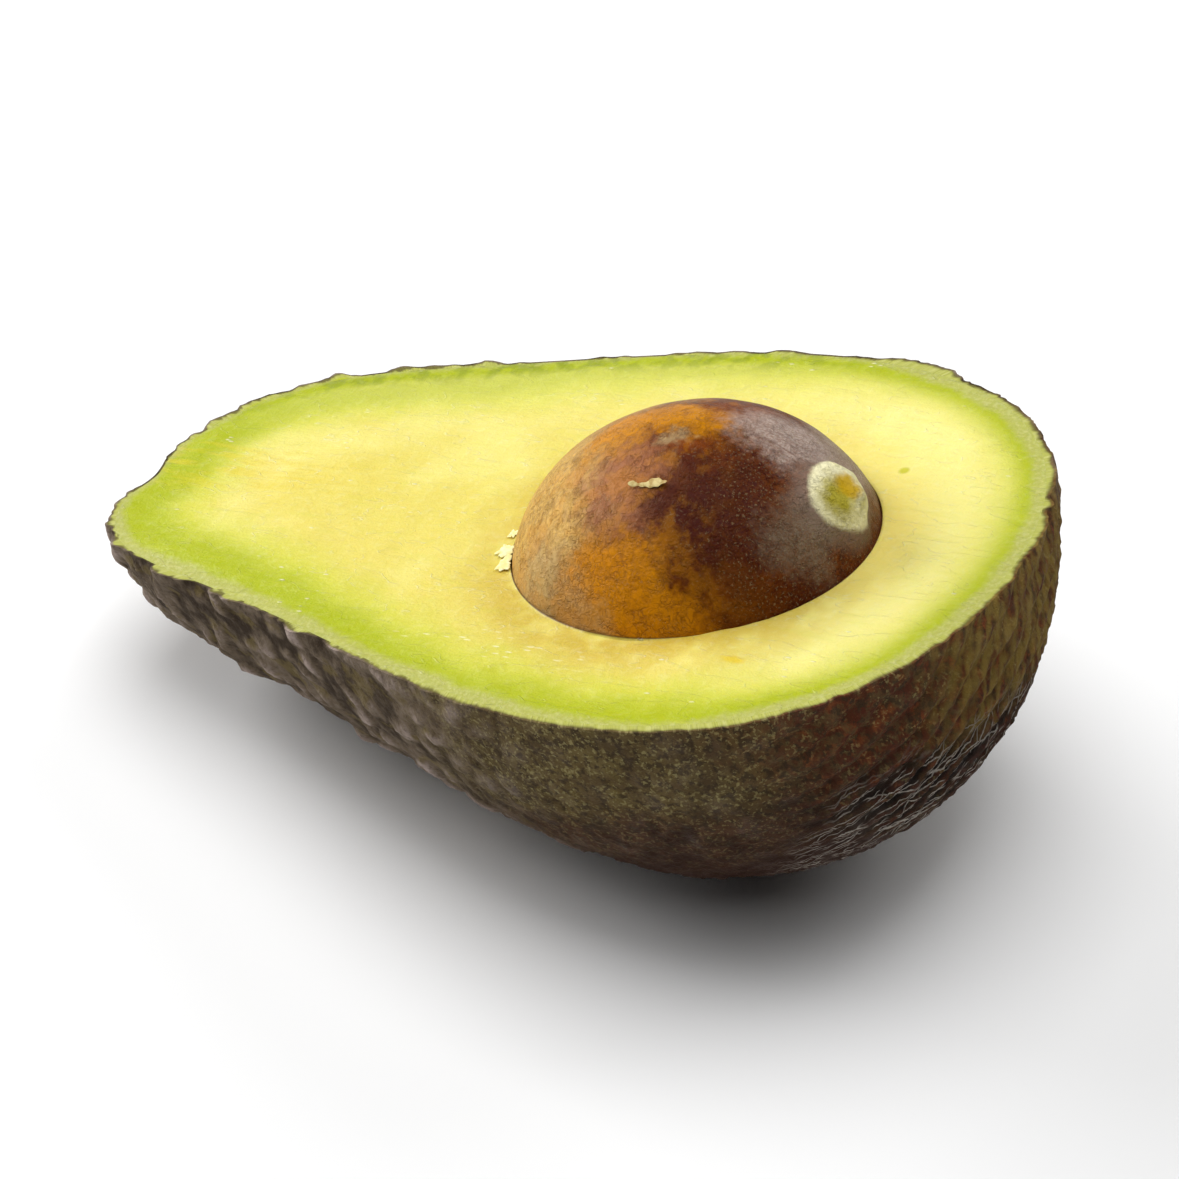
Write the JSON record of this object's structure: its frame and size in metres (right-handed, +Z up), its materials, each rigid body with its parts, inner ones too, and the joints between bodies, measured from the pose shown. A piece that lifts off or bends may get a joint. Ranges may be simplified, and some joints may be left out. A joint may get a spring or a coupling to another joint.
{
  "type": "avocado half",
  "caption": "Half of a ripe avocado cut lengthwise, with dark pebbled peel, green to yellow flesh and its brown stone in the hollow.",
  "frame": {"origin": "middle of the small flat spot on the belly that the half lies on", "axes": "+Z up, +X to the blunt end and -X to the narrow stem end, +Y across the cut face"},
  "size_m": [0.0991, 0.0666, 0.0472],
  "materials": {
    "peel": "dark purplish brown, pebbled, faintly waxy",
    "flesh": "pale yellow, green towards the peel, moist",
    "seed": "smooth red-brown coat, half gloss"
  },
  "bodies": {
    "root": {"skin": "peel", "flesh": "flesh", "stone": "seed"}
  },
  "joints": []
}
